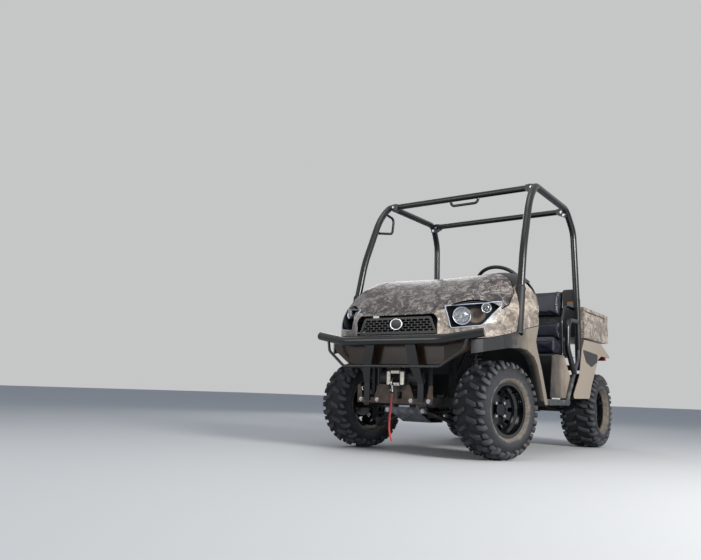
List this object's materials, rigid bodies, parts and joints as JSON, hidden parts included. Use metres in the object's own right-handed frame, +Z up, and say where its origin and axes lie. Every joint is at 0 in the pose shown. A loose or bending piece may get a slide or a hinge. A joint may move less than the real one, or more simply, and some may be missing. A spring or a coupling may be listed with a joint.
{
  "type": "side-by-side utility vehicle",
  "caption": "Compact side-by-side utility vehicle with bench seat, open roll cage, tipping cargo bed, brush guard and front winch, its front wheels turned.",
  "frame": {"origin": "on the ground, under the middle of the vehicle's overall length and width", "axes": "+X to the vehicle's left, -Y forward, +Z up"},
  "size_m": [1.4146, 2.656, 1.8768],
  "materials": {
    "camo_plastic": "camouflage-printed moulded plastic",
    "black_plastic": "semi-gloss black moulded plastic",
    "black_steel": "gloss black powder coat on steel tube",
    "frame_steel": "satin black painted steel",
    "grey_steel": "grey painted steel",
    "mount_steel": "brown-black painted plate",
    "winch_metal": "dark grey painted castings",
    "seat_vinyl": "blue-black grained vinyl",
    "tyre_rubber": "dusty black rubber",
    "rim_paint": "gloss black paint",
    "lamp_glass": "clear lens over a bright reflector",
    "tail_lens": "red moulded lens",
    "grip_rubber": "black grip rubber",
    "engine_alloy": "cast alloy",
    "cast_iron_drive": "cast housings",
    "exhaust_steel": "heat-stained steel",
    "strap_webbing": "red webbing",
    "cooler_alloy": "finned core"
  },
  "bodies": {
    "chassis": {"arm_brackets": "grey_steel", "body_mounts": "frame_steel", "brush_guard": "black_steel", "cage_cross_bars": "black_steel", "cage_hoops": "black_steel", "controls": "grip_rubber", "dashboard": "black_plastic", "driveline": "cast_iron_drive", "engine": "engine_alloy", "floor_pan": "black_plastic", "frame_cross_tubes": "frame_steel", "frame_rails": "frame_steel", "front_fenders": "camo_plastic", "grille": "black_plastic", "headlamp_housings": "black_plastic", "headlamps": "lamp_glass", "hip_guards": "black_steel", "hitch_receiver": "frame_steel", "lower_bodywork": "black_plastic", "muffler": "exhaust_steel", "pull_strap": "strap_webbing", "radiator": "cooler_alloy", "rear_axle": "frame_steel", "rear_fenders": "camo_plastic", "seat_backs": "seat_vinyl", "seat_box": "black_plastic", "seat_cushions": "seat_vinyl", "seat_side_panels": "camo_plastic", "shock_absorbers": "frame_steel", "side_guards": "black_plastic", "steering_column": "frame_steel", "step_rails": "black_plastic", "suspension_arms": "frame_steel", "tail_lamps": "tail_lens", "winch": "winch_metal", "winch_mount": "mount_steel"},
    "knuckle_left_body": {"knuckle_left": "cast_iron_drive"},
    "knuckle_right_body": {"knuckle_right": "cast_iron_drive"},
    "wheel_front_left": {"rim_front_left": "rim_paint", "tyre_front_left": "tyre_rubber"},
    "wheel_front_right": {"rim_front_right": "rim_paint", "tyre_front_right": "tyre_rubber"},
    "wheel_rear_left": {"rim_rear_left": "rim_paint", "tyre_rear_left": "tyre_rubber"},
    "wheel_rear_right": {"rim_rear_right": "rim_paint", "tyre_rear_right": "tyre_rubber"},
    "steering_wheel_body": {"steering_wheel": "grip_rubber"},
    "steering_link": {"tie_rod": "frame_steel"},
    "hood_lid": {"hood": "camo_plastic"},
    "cargo_bed": {"bed": "camo_plastic"},
    "bed_gate": {"tailgate": "camo_plastic"}
  },
  "joints": [
    {"name": "steer_left", "type": "hinge", "parent": "chassis", "child": "knuckle_left_body", "pos_m": [0.36, -0.8445, 0.3], "axis": [0, 0, 1], "range_deg": [-15, 45]},
    {"name": "steer_right", "type": "hinge", "parent": "chassis", "child": "knuckle_right_body", "pos_m": [-0.36, -0.8445, 0.3], "axis": [0, 0, 1], "range_deg": [-15, 45]},
    {"name": "steering_wheel_turn", "type": "hinge", "parent": "chassis", "child": "steering_wheel_body", "pos_m": [0.277, -0.241, 1.164], "axis": [0, 0.766, 0.6428], "range_deg": [-212, 632]},
    {"name": "steering_link_slide", "type": "slide", "parent": "chassis", "child": "steering_link", "axis": [1, 0, 0], "range_m": [-0.0845, 0.0288]},
    {"name": "wheel_front_left_spin", "type": "hinge", "parent": "knuckle_left_body", "child": "wheel_front_left", "pos_m": [0.52421, -0.8885, 0.3], "axis": [0.9659, -0.2588, 0], "continuous": true},
    {"name": "wheel_front_right_spin", "type": "hinge", "parent": "knuckle_right_body", "child": "wheel_front_right", "pos_m": [-0.52421, -0.8005, 0.3], "axis": [0.9659, -0.2588, 0], "continuous": true},
    {"name": "wheel_rear_left_spin", "type": "hinge", "parent": "chassis", "child": "wheel_rear_left", "pos_m": [0.525, 0.9605, 0.3], "axis": [1, 0, 0], "continuous": true},
    {"name": "wheel_rear_right_spin", "type": "hinge", "parent": "chassis", "child": "wheel_rear_right", "pos_m": [-0.525, 0.9605, 0.3], "axis": [1, 0, 0], "continuous": true},
    {"name": "hood_open", "type": "hinge", "parent": "chassis", "child": "hood_lid", "pos_m": [0, -0.527, 1.13], "axis": [-1, 0, 0], "range_deg": [0, 50]},
    {"name": "bed_tip", "type": "hinge", "parent": "chassis", "child": "cargo_bed", "pos_m": [0, 1.148, 0.83], "axis": [-1, 0, 0], "range_deg": [0, 40]},
    {"name": "gate_open", "type": "hinge", "parent": "cargo_bed", "child": "bed_gate", "pos_m": [0, 1.229, 0.868], "axis": [-1, 0, 0], "range_deg": [0, 90]}
  ],
  "couplings": [
    {"joint": "steer_right", "follows": "steer_left", "ratio": 1},
    {"joint": "steering_wheel_turn", "follows": "steer_left", "ratio": 14},
    {"joint": "steering_link_slide", "follows": "steer_left", "m_per_rad": -0.1057}
  ]
}
